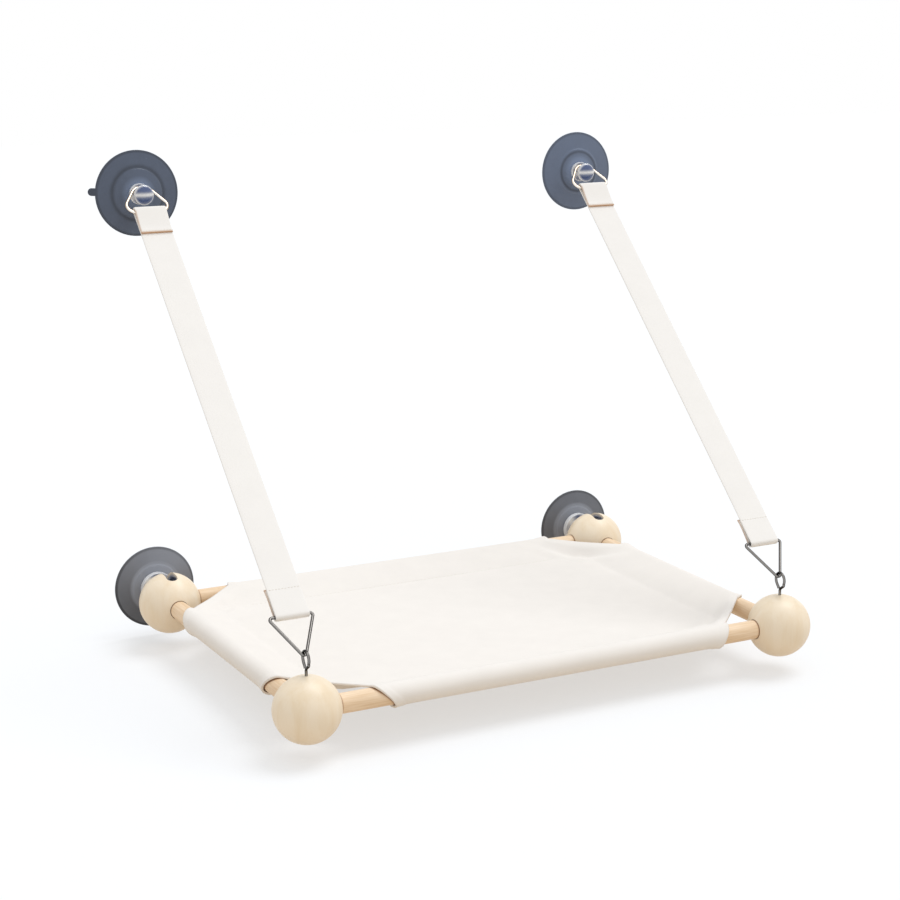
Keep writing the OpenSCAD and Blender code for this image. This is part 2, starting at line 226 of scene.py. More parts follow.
def add(tree, kind, sockets=(), **settings):
    """Adds a shader node with its settings, and a value or a link for each socket; gives its outputs."""
    node = tree.nodes.new("ShaderNode" + kind)
    for key, value in settings.items():
        setattr(node, key, value)
    for key, value in dict(sockets).items():
        if isinstance(value, bpy.types.NodeSocket):
            tree.links.new(value, node.inputs[key])
        else:
            node.inputs[key].default_value = value
    return node.outputs


def material(name, finish, *values, **options):
    """A node material whose surface is the shader that finish(tree, ...) makes in its tree."""
    made = bpy.data.materials.new(name)
    made.use_nodes = True
    made.node_tree.nodes.clear()
    shader = finish(made.node_tree, *values, **options)
    add(made.node_tree, "OutputMaterial", {"Surface": shader})
    return made


def toned(tint, by):
    """A colour times one number, or times one for each channel, and no channel above 1."""
    return (*np.minimum(1, np.array(tint[:3]) * by).tolist(), 1)


def wave_scale(period):
    """Scale of Blender's banded wave for a period in metres: its bands repeat every 2 pi / 20."""
    return 2 * np.pi / 20 / period


def cotton_canvas(tree, tint):
    """Plain-woven cotton canvas: matt, with a fine square weave and faint slubs.

    Its real threads lie 0.6 mm apart; they are drawn at 1.3 mm so that they show.
    """
    uv = add(tree, "UVMap", uv_map="cloth")["UV"]
    warp, weft = (add(tree, "TexWave", {"Vector": uv, "Scale": wave_scale(1.3 * MM), "Distortion": 1.2,
                                        "Detail": 2.0, "Detail Scale": 1.5}, bands_direction=way)["Fac"]
                  for way in "XY")
    slub = add(tree, "TexNoise", {"Vector": uv, "Scale": 1 / (28 * MM), "Detail": 5.0,
                                  "Roughness": 0.6})["Fac"]
    fuzz = add(tree, "TexNoise", {"Vector": uv, "Scale": 1 / (1.8 * MM), "Detail": 2.0})["Fac"]
    tone = add(tree, "MapRange", {"Value": slub, "From Min": 0.3, "From Max": 0.7})["Result"]
    base = add(tree, "Mix", {"Factor": tone, "A": toned(tint, 0.97), "B": tint}, data_type="RGBA")["Result"]
    cross = add(tree, "Math", {0: warp, 1: weft}, operation="MULTIPLY")[0]
    height = add(tree, "Math", {0: cross, 1: 0.6, 2: fuzz}, operation="MULTIPLY_ADD")[0]
    bump = add(tree, "Bump", {"Height": height, "Strength": 0.14, "Distance": 0.3 * MM})["Normal"]
    return add(tree, "BsdfPrincipled", {
        "Base Color": base, "Roughness": 0.86, "Specular IOR Level": 0.25, "Sheen Weight": 0.18,
        "Sheen Roughness": 0.5, "Normal": bump})[0]


def cotton_webbing(tree, tint, seared):
    """Flat-woven cotton webbing: soft sheen, threads in chevrons between two selvedges.

    The point value "sear" browns the cut ends of its tails, partly as their heat seal and partly as painted
    shade, and paints shade in a strip along their left selvedge.
    Its threads lie 0.8 mm apart; the chevrons are drawn at 2 mm so that they show.
    """
    uv = add(tree, "UVMap", uv_map="cloth")["UV"]
    part = add(tree, "SeparateXYZ", {"Vector": uv})
    across = add(tree, "Math", {0: part["X"], 1: 2.6 * MM}, operation="PINGPONG")[0]
    slope = add(tree, "Math", {0: part["Y"], 1: across}, operation="ADD")[0]
    turns = add(tree, "Math", {0: slope, 1: 2 * np.pi / (2.0 * MM)}, operation="MULTIPLY")[0]
    twill = add(tree, "Math", {0: turns}, operation="SINE")[0]
    fuzz = add(tree, "TexNoise", {"Vector": uv, "Scale": 1 / (1.6 * MM), "Detail": 2.0})["Fac"]
    cloud = add(tree, "TexNoise", {"Vector": uv, "Scale": 1 / (22 * MM), "Detail": 3.0})["Fac"]
    height = add(tree, "Math", {0: twill, 1: 0.35, 2: fuzz}, operation="MULTIPLY_ADD")[0]
    bump = add(tree, "Bump", {"Height": height, "Strength": 0.12, "Distance": 0.3 * MM})["Normal"]
    plain = add(tree, "Mix", {"Factor": cloud, "A": toned(tint, 0.965), "B": toned(tint, 1.015)},
                data_type="RGBA")["Result"]
    # Painted shade along the tails' left selvedge, and brown at the cut ends that is partly heat seal and
    # partly painted shade
    burnt = add(tree, "Attribute", attribute_name="sear")["Fac"]
    base = add(tree, "Mix", {"Factor": burnt, "A": plain, "B": seared}, data_type="RGBA")["Result"]
    return add(tree, "BsdfPrincipled", {
        "Base Color": base, "Roughness": 0.78, "Specular IOR Level": 0.3, "Sheen Weight": 0.25,
        "Sheen Roughness": 0.45, "Normal": bump})[0]


def sewing_thread(tree, tint):
    """Polyester thread: a slight gloss and a fine twist."""
    place = add(tree, "TexCoord")["Object"]
    twist = add(tree, "TexNoise", {"Vector": place, "Scale": 1 / (0.6 * MM), "Detail": 2.0})["Fac"]
    base = add(tree, "Mix", {"Factor": twist, "A": toned(tint, 0.86), "B": tint},
               data_type="RGBA")["Result"]
    return add(tree, "BsdfPrincipled", {"Base Color": base, "Roughness": 0.5, "Specular IOR Level": 0.4})[0]


def leaving_angle(cloth):
    """Angle round a dowel, from level inwards, where the straight line to the seam touches its sleeve."""
    touch = np.arccos(cloth.sleeve_r / np.hypot(cloth.pocket, cloth.seam_drop))
    return touch - np.arctan2(cloth.seam_drop, cloth.pocket)


def from_corner(tree, place):
    """A place seen from the middle of the bed, and its distance from the nearest ball's centre.

    |x| stands for x and |y| for y.
    """
    at = add(tree, "VectorMath", {0: place, 1: BED}, operation="SUBTRACT")["Vector"]
    part = add(tree, "SeparateXYZ", {"Vector": at})
    x, y = (add(tree, "Math", {0: part[k]}, operation="ABSOLUTE")[0] for k in "XY")
    folded = add(tree, "CombineXYZ", {"X": x, "Y": y, "Z": part["Z"]})[0]
    far = add(tree, "VectorMath", {0: folded, 1: (HALF_W, HALF_L, 0)}, operation="DISTANCE")["Value"]
    return folded, far


def hollowed(tree, place):
    """How much painted shade a ball's wood gets: none at its surface, 0.9 from 3 mm down in its slot."""
    far = from_corner(tree, place)[1]
    return add(tree, "MapRange", {"Value": far, "From Min": BALL_R - 3 * MM, "From Max": BALL_R - 0.2 * MM,
                                  "To Min": 0.9, "To Max": 0.0})["Result"]


def handled(tree, place, along, cloth):
    """How much painted shade a dowel gets: a ring at the mouth of a ball's bore, and inside the sleeves,
    which shade it.

    A dowel along x is inside its sleeve where |x| < cut - slant (1 - cos t), t being the angle round it
    from the place where the cloth leaves it. The same holds along y, with x and y exchanged.
    """
    folded, far = from_corner(tree, place)
    most = 0.85
    bore = add(tree, "MapRange", {"Value": far, "From Min": BALL_R + 0.7 * MM,
                                  "From Max": BALL_R + 2.2 * MM, "To Min": most, "To Max": 0.0})["Result"]
    half = (HALF_W, HALF_L)
    across = 1 - along
    turn = leaving_angle(cloth)
    slope = [0, 0, cloth.slant * np.sin(turn) / DOWEL_R]
    slope[along] = -1
    slope[across] = -cloth.slant * np.cos(turn) / DOWEL_R
    depth = add(tree, "VectorMath", {0: folded, 1: slope}, operation="DOT_PRODUCT")["Value"]
    edge = half[along] - cloth.corner - cloth.slant - slope[across] * half[across]
    inside = add(tree, "MapRange", {"Value": depth, "From Min": -edge - 2.6 * MM,
                                    "From Max": -edge - 0.2 * MM, "To Max": most})["Result"]
    # The right sleeve's front mouth is cut back, so this line of painted shade is drawn on the left dowel
    # only
    if along == Y:
        x = add(tree, "SeparateXYZ", {"Vector": place})["X"]
        left = add(tree, "Math", {0: x, 1: 0.0}, operation="LESS_THAN")[0]
        inside = add(tree, "Math", {0: inside, 1: left}, operation="MULTIPLY")[0]
    return add(tree, "Math", {0: bore, 1: inside}, operation="MAXIMUM")[0]


# Dark and light parts of the figure beside the wood's colour, its roughness, and the weight of the fibres
# beside the growth bands
MAPLE = dict(dark=(0.96, 0.925, 0.86), light=(1.015, 1.02, 1.03), rough=0.38, fine=0.25)
BIRCH = dict(dark=(0.84, 0.75, 0.62), light=(1.04, 1.05, 1.07), rough=0.5, fine=1.0)


def turned_wood(tree, tint, stain, along, dark, light, rough, fine, cloth=None):
    """Pale close-grained hardwood, turned and sanded: fine fibres and pores along one axis.

    Fibres are about 0.4 mm wide and are drawn at 1.6 mm; growth bands are about 15 mm apart. A dowel is
    given the canvas, for painted shade at its joints and inside its sleeves, and a ball gets painted shade
    in its slot instead.
    """
    place = add(tree, "TexCoord")["Object"]
    fibre_way, band_way = [1.0] * 3, [1.0] * 3
    fibre_way[along], band_way[along] = 0.06, 0.14
    fibre_at = add(tree, "Mapping", {"Vector": place, "Scale": fibre_way})["Vector"]
    band_at = add(tree, "Mapping", {"Vector": place, "Scale": band_way})["Vector"]
    fibre = add(tree, "TexNoise", {"Vector": fibre_at, "Scale": 1 / (1.6 * MM), "Detail": 3.0})["Fac"]
    band = add(tree, "TexNoise", {"Vector": band_at, "Scale": 1 / (15 * MM), "Detail": 3.0,
                                  "Distortion": 0.6})["Fac"]
    pore = add(tree, "TexNoise", {"Vector": fibre_at, "Scale": 1 / (0.8 * MM), "Detail": 1.0})["Fac"]
    mark = add(tree, "MapRange", {"Value": pore, "From Min": 0.62, "From Max": 0.75})["Result"]
    figure = add(tree, "Math", {0: fibre, 1: fine, 2: band}, operation="MULTIPLY_ADD")[0]
    tone = add(tree, "MapRange", {"Value": figure, "From Min": 0.34 * (1 + fine),
                                  "From Max": 0.6 * (1 + fine)})["Result"]
    flecked = add(tree, "Math", {0: mark, 1: -0.18, 2: tone}, operation="MULTIPLY_ADD", use_clamp=True)[0]
    clean = add(tree, "Mix", {"Factor": flecked, "A": toned(tint, dark), "B": toned(tint, light)},
                data_type="RGBA")["Result"]
    # Painted shade at a dowel's joints and inside its sleeves, or deep in a ball's slot
    worn = handled(tree, place, along, cloth) if cloth else hollowed(tree, place)
    base = add(tree, "Mix", {"Factor": worn, "A": clean, "B": stain}, data_type="RGBA")["Result"]
    gloss = add(tree, "MapRange", {"Value": fibre, "From Min": 0.3, "From Max": 0.7, "To Min": rough - 0.06,
                                   "To Max": rough + 0.08})["Result"]
    bump = add(tree, "Bump", {"Height": flecked, "Strength": 0.06, "Distance": 0.2 * MM})["Normal"]
    return add(tree, "BsdfPrincipled", {"Base Color": base, "Roughness": gloss, "Specular IOR Level": 0.5,
                                        "Normal": bump})[0]


def grey_vinyl(tree, tint):
    """Soft moulded vinyl, smoke grey: a smooth, slightly dusty skin.

    The point value "tone" says how light it is: lighter inside its edge, with a soft ring, a halo in the
    middle, a lighter side of painted highlight and a dark rim of painted shade.
    """
    place = add(tree, "TexCoord")["Object"]
    tone = add(tree, "Attribute", attribute_name="tone")["Fac"]
    cloud = add(tree, "TexNoise", {"Vector": place, "Scale": 1 / (9 * MM), "Detail": 3.0})["Fac"]
    speck = add(tree, "TexNoise", {"Vector": place, "Scale": 1 / (1.6 * MM), "Detail": 1.0})["Fac"]
    dust = add(tree, "MapRange", {"Value": speck, "From Min": 0.72, "From Max": 0.8, "To Min": 0.0,
                                  "To Max": 0.12})["Result"]
    clouded = add(tree, "Math", {0: cloud, 1: 0.10, 2: tone}, operation="MULTIPLY_ADD")[0]
    dusty = add(tree, "Math", {0: clouded, 1: dust}, operation="ADD", use_clamp=True)[0]
    base = add(tree, "Mix", {"Factor": dusty, "A": toned(tint, 0.25), "B": toned(tint, 1.9)},
               data_type="RGBA")["Result"]
    skin = add(tree, "MapRange", {"Value": speck, "To Min": 0.3, "To Max": 0.42})["Result"]
    return add(tree, "BsdfPrincipled", {"Base Color": base, "Roughness": skin, "Specular IOR Level": 0.4,
                                        "Coat Weight": 0.15, "Coat Roughness": 0.2})[0]


def clear_plastic(tree, tint, shade):
    """Injection-moulded clear plastic: colourless, glassy, with a faint flow ripple.

    The point value "gleam" mixes painted light into its colour: 1 is a painted highlight where the form
    gathers the light, 0 the disc behind painted as showing through.
    """
    place = add(tree, "TexCoord")["Object"]
    flow = add(tree, "TexNoise", {"Vector": place, "Scale": 1 / (7 * MM), "Detail": 1.0})["Fac"]
    bump = add(tree, "Bump", {"Height": flow, "Strength": 0.03, "Distance": 0.5 * MM})["Normal"]
    lit = add(tree, "Attribute", attribute_name="gleam")["Fac"]
    base = add(tree, "Mix", {"Factor": lit, "A": shade, "B": tint}, data_type="RGBA")["Result"]
    return add(tree, "BsdfPrincipled", {"Base Color": base, "Roughness": 0.06, "IOR": 1.49,
                                        "Transmission Weight": 0.15, "Coat Weight": 0.6, "Normal": bump})[0]


def drawn_wire(tree, tint, edge, rough):
    """Drawn and plated wire with fine drawing marks; its colour turns to edge towards the sides as a
    painted reflection.
    """
    place = add(tree, "TexCoord")["Object"]
    mark = add(tree, "TexNoise", {"Vector": place, "Scale": 1 / (1.2 * MM), "Detail": 4.0})["Fac"]
    gloss = add(tree, "MapRange", {"Value": mark, "From Min": 0.3, "From Max": 0.7, "To Min": rough,
                                   "To Max": rough + 0.12})["Result"]
    marked = add(tree, "Mix", {"Factor": mark, "A": toned(tint, 0.9), "B": toned(tint, 1.04)},
                 data_type="RGBA")["Result"]
    # Painted reflection: the colour turns to edge where the wire faces away
    facing = add(tree, "LayerWeight", {"Blend": 0.5})["Facing"]
    sides = add(tree, "MapRange", {"Value": facing, "From Min": 0.1, "From Max": 0.42})["Result"]
    base = add(tree, "Mix", {"Factor": sides, "A": marked, "B": edge}, data_type="RGBA")["Result"]
    return add(tree, "BsdfPrincipled", {"Base Color": base, "Metallic": 1.0, "Roughness": gloss})[0]


def plainly_seen(tree):
    """1 for a ray from the eye, off a gloss or through clear plastic, and 0 for one that carries light."""
    ray = add(tree, "LightPath")
    eye = add(tree, "Math", {0: ray["Is Camera Ray"], 1: ray["Is Glossy Ray"]}, operation="MAXIMUM")[0]
    return add(tree, "Math", {0: eye, 1: ray["Is Transmission Ray"]}, operation="MAXIMUM")[0]


def pale_floor(tree, tint, bounce):
    """White paper with the object's soft shadow on it; the light that it throws back is warm."""
    seen = plainly_seen(tree)
    glow = add(tree, "MapRange", {"Value": seen, "To Min": 0.29, "To Max": 0.51})["Result"]
    warm = add(tree, "Mix", {"Factor": seen, "A": bounce, "B": (1, 1, 1, 1)}, data_type="RGBA")["Result"]
    dull = add(tree, "Mix", {"Factor": seen, "A": toned(bounce, 0.4), "B": tint},
               data_type="RGBA")["Result"]
    paper = add(tree, "BsdfDiffuse", {"Color": dull})[0]
    light = add(tree, "Emission", {"Color": warm, "Strength": glow})[0]
    return add(tree, "AddShader", {0: paper, 1: light})[0]


def quads(rows, columns, closed=False):
    """Faces of a grid of rows by columns points; closed joins its last column to its first."""
    i = np.arange(rows - 1)[:, None]
    j = np.arange(columns if closed else columns - 1)[None, :]
    k = (j + 1) % columns
    corners = [i * columns + j, i * columns + k, (i + 1) * columns + k, (i + 1) * columns + j]
    return np.stack(corners, -1).reshape(-1, 4)


def joined(parts):
    """Points and faces of several parts as one list of each."""
    faces, start = [], 0
    for points, groups in parts:
        for group in groups:
            faces += (np.asarray(group) + start).tolist()
        start += len(points)
    return np.vstack([points for points, _ in parts]), faces


def piece(name, parts, finish, uv=None, weld=0.0, **values):
    """Object from parts of points and face groups, with its material, UV map and point values.

    Points nearer to each other than weld are joined.
    """
    points, faces = joined(parts)
    mesh = bpy.data.meshes.new(name)
    mesh.from_pydata(points.tolist(), [], faces)
    if uv is not None:
        corner = np.empty(len(mesh.loops), np.int32)
        mesh.loops.foreach_get("vertex_index", corner)
        layer = mesh.uv_layers.new(name="cloth")
        layer.uv.foreach_set("vector", uv[corner].astype(np.float32).ravel())
    for key, value in values.items():
        mesh.attributes.new(key, "FLOAT", "POINT").data.foreach_set("value", value.astype(np.float32))
    work = bmesh.new()
    work.from_mesh(mesh)
    if weld:
        bmesh.ops.remove_doubles(work, verts=work.verts, dist=weld)
    bmesh.ops.recalc_face_normals(work, faces=work.faces)
    work.to_mesh(mesh)
    work.free()
    mesh.shade_smooth()
    mesh.materials.append(finish)
    made = bpy.data.objects.new(name, mesh)
    bpy.context.scene.collection.objects.link(made)
    return made


def unit(vectors):
    """Rows of vectors, each made of length 1."""
    return vectors / np.linalg.norm(vectors, axis=1, keepdims=True)


def travelled(path):
    """Distance along a path to each of its points."""
    return np.concatenate([[0.0], np.cumsum(np.linalg.norm(np.diff(path, axis=0), axis=1))])


def soften(points, radius, steps=6):
    """Rounds the inner corners of an open outline.

    A corner B becomes (1-t)^2 A + 2 t (1-t) B + t^2 C, where A and C lie up to its radius from B
    along its two sides, and never beyond 0.45 of a side.
    """
    p = np.asarray(points, float)
    b = p[1:-1]
    to_a, to_c = p[:-2] - b, p[2:] - b
    la = np.linalg.norm(to_a, axis=1, keepdims=True)
    lc = np.linalg.norm(to_c, axis=1, keepdims=True)
    r = np.broadcast_to(np.reshape(radius, (-1, 1)), la.shape)
    a = b + to_a / la * np.minimum(r, 0.45 * la)
    c = b + to_c / lc * np.minimum(r, 0.45 * lc)
    t = np.linspace(0, 1, steps)[:, None, None]
    arc = (1 - t) ** 2 * a + 2 * t * (1 - t) * b + t ** 2 * c
    return np.vstack([p[:1], arc.transpose(1, 0, 2).reshape(-1, p.shape[1]), p[-1:]])


def spaced(path, step):
    """The same path with points added along its sides, none further apart than step."""
    gap = np.linalg.norm(np.diff(path, axis=0), axis=1)
    count = np.maximum(1, np.ceil(gap / step).astype(int))
    at = travelled(path)
    nth = np.arange(count.sum()) - np.repeat(np.cumsum(count) - count, count)
    where = np.append(np.repeat(at[:-1], count) + nth * np.repeat(gap / count, count), at[-1])
    return np.stack([np.interp(where, at, path[:, k]) for k in range(path.shape[1])], -1)


def shell(rings, first, last):
    """Points and faces of a row of closed rings; fans to a first and a last point close its two ends."""
    count, sides = rings.shape[:2]
    n = count * sides
    k = np.arange(sides)
    after = (k + 1) % sides
    start = np.stack([np.full(sides, n), k, after], -1)
    end = np.stack([np.full(sides, n + 1), n - sides + after, n - sides + k], -1)
    return np.vstack([rings.reshape(-1, 3), [first, last]]), [quads(count, sides, closed=True), start, end]


def lathe(profile, turns):
    """Spins a profile of (radius, height) about Z: x = r cos t, y = r sin t, z = h.

    Its first and last points lie on the axis and close the two ends.
    """
    t = np.linspace(0, 2 * np.pi, turns, endpoint=False)
    r, h = profile[1:-1].T[:, :, None]
    rings = np.stack([r * np.cos(t), r * np.sin(t), h + 0 * t], -1)
    return shell(rings, [0, 0, profile[0, 1]], [0, 0, profile[-1, 1]])


def turned(points, angle):
    """Points turned about Z by an angle."""
    x, y, z = points.T
    return np.stack([x * np.cos(angle) - y * np.sin(angle), x * np.sin(angle) + y * np.cos(angle), z], -1)


def on_glass(points, node):
    """Points of a disc or peg turned so that +Z leads away from the glass, on its node's own axis."""
    _, level, side = node.split("_")
    z = CUP_RISE if level == "upper" else 0.0
    return np.stack([SIDES[side] * HALF_W + points[:, 0], -points[:, 2], z + points[:, 1]], -1)


def bend(a, b, c, d, steps=10):
    """Cubic curve (1-t)^3 a + 3 t (1-t)^2 b + 3 t^2 (1-t) c + t^3 d."""
    t = np.linspace(0, 1, steps)[:, None]
    return (1 - t) ** 3 * a + 3 * t * (1 - t) ** 2 * b + 3 * t ** 2 * (1 - t) * c + t ** 3 * d


def wire(path, radius, sides=20):
    """Round wire along a path in a plane of constant x: c + radius (x cos q + n sin q).

    n is square to the path in its plane; the two ends are closed with flat caps.
    """
    x = np.array([1.0, 0, 0])
    n = np.cross(unit(np.gradient(path, axis=0)), x)
    q = np.linspace(0, 2 * np.pi, sides, endpoint=False)[None, :, None]
    ring = path[:, None] + radius * (x * np.cos(q) + n[:, None] * np.sin(q))
    k, last = np.arange(sides), (len(path) - 1) * sides
    return ring.reshape(-1, 3), [quads(len(path), sides, closed=True), np.stack([k[::-1], last + k])]


def stitches(name, places, along, normal, thread, size, thick):
    """Row of thread stitches: one small ellipsoid at each place, half sunk in the cloth.

    A point is c + a cos(p) size / 2 + (s cos(q) + n sin(q)) sin(p) thick / 2.
    """
    rings, sides = 5, 6
    a, n = unit(along), unit(normal)
    s = np.cross(n, a)
    p = np.linspace(0, np.pi, rings + 2)[1:-1][:, None]
    q = np.linspace(0, 2 * np.pi, sides, endpoint=False)[None, :]
    shares = (np.cos(p) * size / 2, np.sin(p) * np.cos(q) * thick / 2, np.sin(p) * np.sin(q) * thick / 2)
    u, v, w = (np.broadcast_to(share, (rings, sides)).reshape(1, -1, 1) for share in shares)
    points = places[:, None] + a[:, None] * u + s[:, None] * v + n[:, None] * w
    k = np.arange(sides)
    ends = np.stack([k[::-1], (rings - 1) * sides + k])
    shift = (np.arange(len(places)) * rings * sides)[:, None, None]
    faces = [(quads(rings, sides, closed=True) + shift).reshape(-1, 4), (ends + shift).reshape(-1, sides)]
    return piece(name, [(points.reshape(-1, 3), faces)], thread)


def eased(count):
    """Numbers from -1 to 1, closer together towards both ends: 0.62 t + 0.38 sin(pi t / 2)."""
    t = np.linspace(-1, 1, count)
    return 0.62 * t + 0.38 * np.sin(t * np.pi / 2)


class Sling:
    """The canvas seen from the middle of the bed: its panel, the sleeves round the dowels and their seams.

    A place in a sleeve's section is its distance inwards from the dowel's axis and its height above it.
    """

    CORNER_RISE, CORNER_POWER = 0.9, 1.3  # How high and how steeply the panel rises to a cut corner
    CREASE_AT, CREASE_WIDTH = 16 * MM, 7 * MM  # A crease's distance from the free edge, and its half width
    REAR_CREASE = 1.7  # Depth of the rear right crease beside the others
    TUCK = (0.4 * MM, 1.35 * MM)  # How far outside the seam and below it a sleeve's lower edge ends
    OPENING = 0.6  # Angle over which a mouth's flare grows, from the panel's edge
    FLARE_REACH = 6 * MM  # Distance from the mouth at which the flare has died down to a third
    STITCH_FROM, STITCH_STEP = 12 * MM, 4.4 * MM  # First stitch from a mouth, and the step to the next

    def __init__(self, cloth):
        self.cloth = cloth
        self.seam = np.array([cloth.pocket, -cloth.seam_drop])
        # The cloth leaves a sleeve where the straight line to the seam touches it, above and below
        self.leave = leaving_angle(cloth)
        self.back = 2 * np.pi - self.leave + 2 * np.arctan2(self.seam[1], self.seam[0])
        self.inward, self.rise = cloth.sleeve_r * np.cos(self.leave), cloth.sleeve_r * np.sin(self.leave)
        # Half sizes of the panel, and where its corners are cut: the front right one is cut back further
        self.px, self.py = HALF_W - self.inward, HALF_L - self.inward
        self.cut_x, self.cut_y = HALF_W - cloth.corner, HALF_L - cloth.corner
        self.cut_right = self.cut_y - cloth.recede
        # Grid lines: shares of the half width, and rows between the right cuts and out to the edges
        self.u = eased(151)
        self.right = (self.cut_y - self.cut_right) / 2 + (self.cut_y + self.cut_right) / 2 * eased(101)
        self.rows = np.concatenate([
            np.linspace(-self.py, -self.cut_y, 27)[:-1], np.linspace(-self.cut_y, -self.cut_right, 8)[:-1],
            self.right, np.linspace(self.cut_y, self.py, 27)[1:]])
        self.left = self.rows[np.abs(self.rows) <= self.cut_y + 1e-9]
        self.wrap, self.turn, self.open = self.section()
        self.girth = travelled(self.wrap)

    def cut(self, x, y):
        """Where the free edge of the nearest corner starts on the side dowel, as |y|."""
        return np.where((x > 0) & (y < 0), self.cut_right, self.cut_y)

    def corner_inset(self, x, y):
        """Distance inside the line from (px, cut) to (cut_x, py), the free edge of a cut corner."""
        cut = self.cut(x, y)
        a, b = self.py - cut, self.px - self.cut_x
        return ((self.px - np.abs(x)) * a + (cut - np.abs(y)) * b) / np.hypot(a, b)

    def height(self, x, y):
        """Panel height: straight slopes of width w fall from the edges to the seam, then it sags.

        ex and ey go from 0 at the seam to 1 at an edge, and ec = 0.9 (1 - free / w)^1.3, free being the
        distance to a cut corner's edge. rim = 1 - (1-ex)(1-ey)(1-ec), z = seam + (edge - seam) rim
        - sag (1 - (x/px)^2)(1 - (y/py)^2)(1-rim) - valley (1-ex)(1-ey) exp(-((free - 16 mm) / 7 mm)^2).
        The crease of the last term is deepest at the rear right.
        """
        cloth = self.cloth
        w = cloth.pocket - self.inward
        ex = np.clip(1 - (self.px - np.abs(x)) / w, 0, 1)
        ey = np.clip(1 - (self.py - np.abs(y)) / w, 0, 1)
        free = self.corner_inset(x, y)
        ec = self.CORNER_RISE * np.clip(1 - free / w, 0, 1) ** self.CORNER_POWER
        rim = 1 - (1 - ex) * (1 - ey) * (1 - ec)
        dish = (1 - (x / self.px) ** 2) * (1 - (y / self.py) ** 2)
        fold = np.exp(-((free - self.CREASE_AT) / self.CREASE_WIDTH) ** 2)
        crease = cloth.valley * (1 - ex) * (1 - ey) * fold
        crease = crease * np.where((x > 0) & (y > 0), self.REAR_CREASE, 1.0)
        return self.seam[1] + (self.rise - self.seam[1]) * rim - cloth.sag * dish * (1 - rim) - crease

    def panel(self):
        """Points of the panel, their places in the flat cloth and their distances to a free edge.

        y runs over the rows, and x is a share of the half width, which narrows at the cut corners.
        """
        y, x = np.meshgrid(self.rows, self.u, indexing="ij")
        cut = self.cut(x, y)
        narrow = np.clip(np.abs(y) - cut, 0, None) * (self.px - self.cut_x) / (self.py - cut)
        x = x * (self.px - narrow)
        return np.stack([x, y, self.height(x, y)], -1), np.stack([x, y], -1), self.corner_inset(x, y)

    def section(self):
        """A sleeve's section from the panel's edge over the dowel and back beneath to the seam.

        Gives its points, the angle that each has turned round the dowel and its share of the flare.
        """
        r = self.cloth.sleeve_r
        angle = np.linspace(self.leave, self.back, 37)
        ring = np.stack([r * np.cos(angle), r * np.sin(angle)], -1)
        under = np.linspace(ring[-1], self.seam - self.TUCK, 11)[1:]
        turn = np.concatenate([angle, np.full(len(under), self.back)]) - self.leave
        fade = np.concatenate([np.ones(len(ring)), np.linspace(1, 0, len(under) + 1)[1:]])
        return np.vstack([ring, under]), turn, np.clip(turn / self.OPENING, 0, 1) * fade

    def sleeve(self, along, out, ends, first, last):
        """Points of a sleeve, their places in the flat cloth and their distances to a mouth.

        ends are places along the dowel where the cloth leaves the panel. A mouth falls back round the dowel
        by slant (1 - cos turn), times first or last at its two ends, and stands open there by the flare.
        """
        cloth, axis = self.cloth, (HALF_L, HALF_W)[along]
        fall = cloth.slant * (1 - np.cos(self.turn))
        most = np.where(ends < 0, -ends.min(), ends.max())[None, :]
        drop = fall[:, None] * np.where(ends < 0, first, last)[None, :]
        run = ends[None, :] * (1 - drop / most)
        inset = most - drop - np.abs(run)
        grow = 1 + cloth.flare / cloth.sleeve_r * np.exp(-inset / self.FLARE_REACH) * self.open[:, None]
        off, up = out * (axis - self.wrap[:, :1] * grow), self.wrap[:, 1:] * grow
        flat = np.broadcast_to((out * (axis - self.inward + self.girth))[:, None], run.shape)
        if along == X:
            return np.stack([run, off, up], -1), np.stack([run, flat], -1), inset
        return np.stack([off, run, up], -1), np.stack([flat, run], -1), inset

    def sleeves(self):
        """The rear, front, right and left sleeve; the mouths' slants differ beside the front right ball."""
        across = self.u * self.cut_x
        return [self.sleeve(X, 1, across, 1.0, 1.0), self.sleeve(X, -1, across, 1.0, 0.55),
                self.sleeve(Y, 1, self.right, 1.4, 1.0), self.sleeve(Y, -1, self.left, 1.0, 1.0)]

    def seams(self):
        """Places of the stitches that close the sleeves, on top of the panel, and the way each points."""
        places, ways = [], []
        for along, most, axis in ((X, self.cut_x, HALF_L), (Y, self.cut_right, HALF_W)):
            run = np.arange(-most + self.STITCH_FROM, most - self.STITCH_FROM, self.STITCH_STEP)
            for out in (1, -1):
                off = np.full_like(run, out * (axis - self.cloth.pocket))
                x, y = (run, off) if along == X else (off, run)
                places.append(np.stack([x, y, self.height(x, y) + 0.5 * self.cloth.thickness], -1))
                ways.append(np.tile(np.eye(3)[along], (len(run), 1)))
        return np.vstack(places), np.vstack(ways)


